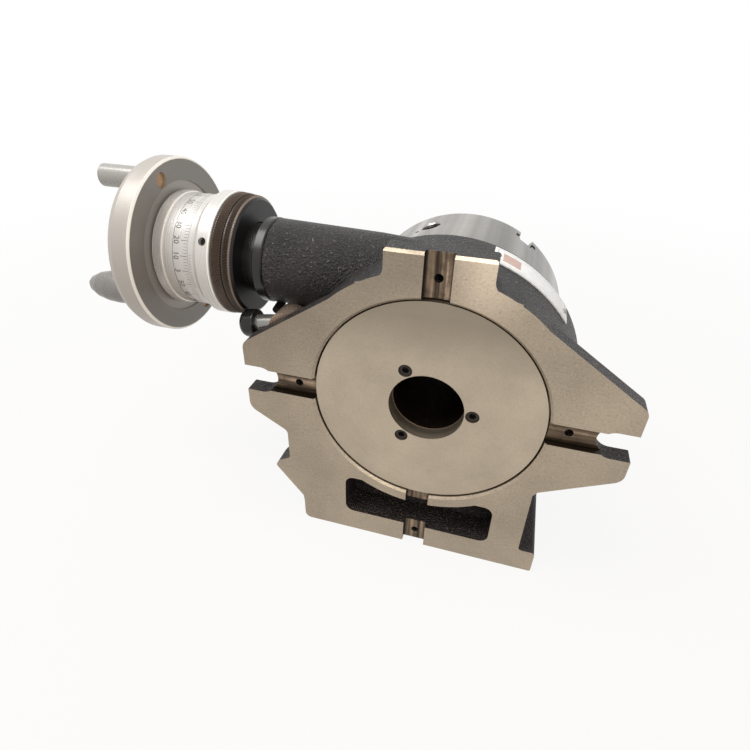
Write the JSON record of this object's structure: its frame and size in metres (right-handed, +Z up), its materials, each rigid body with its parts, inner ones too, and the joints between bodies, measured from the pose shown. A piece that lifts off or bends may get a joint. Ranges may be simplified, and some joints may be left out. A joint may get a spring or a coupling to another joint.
{
  "type": "dividing head",
  "caption": "Worm-driven dividing head with an eccentric worm sleeve, graduated dial, handwheel and self-centring chuck, for its foot or its back face.",
  "frame": {"origin": "on the spindle axis, in the plane of the ground back face", "axes": "+Y along the spindle from the back face to the chuck, +Z up from the foot, +X away from the handwheel"},
  "size_m": [0.4188, 0.1983, 0.2494],
  "materials": {
    "black_paint": "wrinkle",
    "ground_steel": "ground",
    "black_oxide": "blackened",
    "dial_chrome": "satin",
    "wheel_alloy": "satin",
    "bright_steel": "turned",
    "black_plastic": "gloss",
    "wheel_bronze": "machined",
    "plate_metal": "satin"
  },
  "bodies": {
    "base": {"base_casting": "black_paint", "sleeve_lock_screw": "black_oxide", "nameplate": "plate_metal", "nameplate_rivets": "bright_steel", "zero_plate": "plate_metal", "zero_plate_screws": "bright_steel", "clamp_dog": "bright_steel", "clamp_nut": "black_oxide"},
    "spindle": {"spindle": "ground_steel", "rear_disc": "ground_steel", "rear_disc_screws": "black_oxide", "worm_wheel": "wheel_bronze", "worm_wheel_screws": "black_oxide", "chuck_body": "ground_steel", "chuck_cover": "ground_steel", "chuck_screws": "black_oxide", "cover_screws": "black_oxide"},
    "worm_sleeve": {"eccentric_sleeve": "black_oxide", "knurled_ring": "black_oxide", "vernier_ring": "dial_chrome", "vernier_set_screws": "black_oxide", "worm_thrust_washers": "bright_steel"},
    "worm": {"worm_shaft": "bright_steel", "handwheel": "wheel_alloy", "handwheel_key": "bright_steel", "handwheel_nut": "black_oxide", "plain_handle": "bright_steel", "grip_stud": "bright_steel", "dial_spring_washer": "bright_steel"},
    "dial": {"graduated_dial": "dial_chrome"},
    "grip": {"revolving_handle": "bright_steel"},
    "scroll": {"scroll_plate": "ground_steel"},
    "clamp_lever": {"clamp_lever": "bright_steel", "clamp_knob": "black_plastic", "clamp_stud": "bright_steel"},
    "jaw_1": {"jaw_1": "ground_steel"},
    "pinion_1": {"chuck_pinion_1": "black_oxide"},
    "jaw_2": {"jaw_2": "ground_steel"},
    "pinion_2": {"chuck_pinion_2": "black_oxide"},
    "jaw_3": {"jaw_3": "ground_steel"},
    "pinion_3": {"chuck_pinion_3": "black_oxide"}
  },
  "joints": [
    {"name": "worm_turn", "type": "hinge", "parent": "worm_sleeve", "child": "worm", "pos_m": [-0.13, 0.0516, 0.065], "axis": [1, 0, 0], "continuous": true},
    {"name": "spindle_turn", "type": "hinge", "parent": "base", "child": "spindle", "pos_m": [0, 0.05, 0], "axis": [0, 1, 0], "continuous": true},
    {"name": "sleeve_drop", "type": "hinge", "parent": "base", "child": "worm_sleeve", "pos_m": [-0.13, 0.0492, 0.065], "axis": [1, 0, 0], "range_deg": [0, 70]},
    {"name": "dial_set", "type": "hinge", "parent": "worm", "child": "dial", "pos_m": [-0.175, 0.0516, 0.065], "axis": [1, 0, 0], "continuous": true},
    {"name": "grip_spin", "type": "hinge", "parent": "worm", "child": "grip", "pos_m": [-0.25, 0.06444, 0.01709], "axis": [1, 0, 0], "continuous": true},
    {"name": "clamp_turn", "type": "hinge", "parent": "base", "child": "clamp_lever", "pos_m": [-0.0975, 0.03, 0.0335], "axis": [0, 1, 0], "range_deg": [-45, 0]},
    {"name": "scroll_turn", "type": "hinge", "parent": "spindle", "child": "scroll", "pos_m": [0, 0.12, 0], "axis": [0, 1, 0], "range_deg": [0, 1800]},
    {"name": "jaw_1_slide", "type": "slide", "parent": "spindle", "child": "jaw_1", "axis": [0.5446, 0, 0.8387], "range_m": [0, 0.04]},
    {"name": "jaw_2_slide", "type": "slide", "parent": "spindle", "child": "jaw_2", "axis": [-0.9986, 0, 0.0523], "range_m": [0, 0.04]},
    {"name": "jaw_3_slide", "type": "slide", "parent": "spindle", "child": "jaw_3", "axis": [0.454, 0, -0.891], "range_m": [0, 0.04]},
    {"name": "pinion_1_turn", "type": "hinge", "parent": "spindle", "child": "pinion_1", "pos_m": [-0.02337, 0.125, 0.06599], "axis": [-0.3338, 0, 0.9426], "range_deg": [-8100, 0]},
    {"name": "pinion_2_turn", "type": "hinge", "parent": "spindle", "child": "pinion_2", "pos_m": [-0.04546, 0.125, -0.05323], "axis": [-0.6494, 0, -0.7604], "range_deg": [-8100, 0]},
    {"name": "pinion_3_turn", "type": "hinge", "parent": "spindle", "child": "pinion_3", "pos_m": [0.06883, 0.125, -0.01276], "axis": [0.9833, 0, -0.1822], "range_deg": [-8100, 0]}
  ],
  "couplings": [
    {"joint": "spindle_turn", "follows": "worm_turn", "ratio": -0.011111},
    {"joint": "jaw_1_slide", "follows": "scroll_turn", "m_per_rad": 0.0012732},
    {"joint": "jaw_2_slide", "follows": "scroll_turn", "m_per_rad": 0.0012732},
    {"joint": "jaw_3_slide", "follows": "scroll_turn", "m_per_rad": 0.0012732},
    {"joint": "pinion_1_turn", "follows": "scroll_turn", "ratio": -4.5},
    {"joint": "pinion_2_turn", "follows": "scroll_turn", "ratio": -4.5},
    {"joint": "pinion_3_turn", "follows": "scroll_turn", "ratio": -4.5}
  ]
}
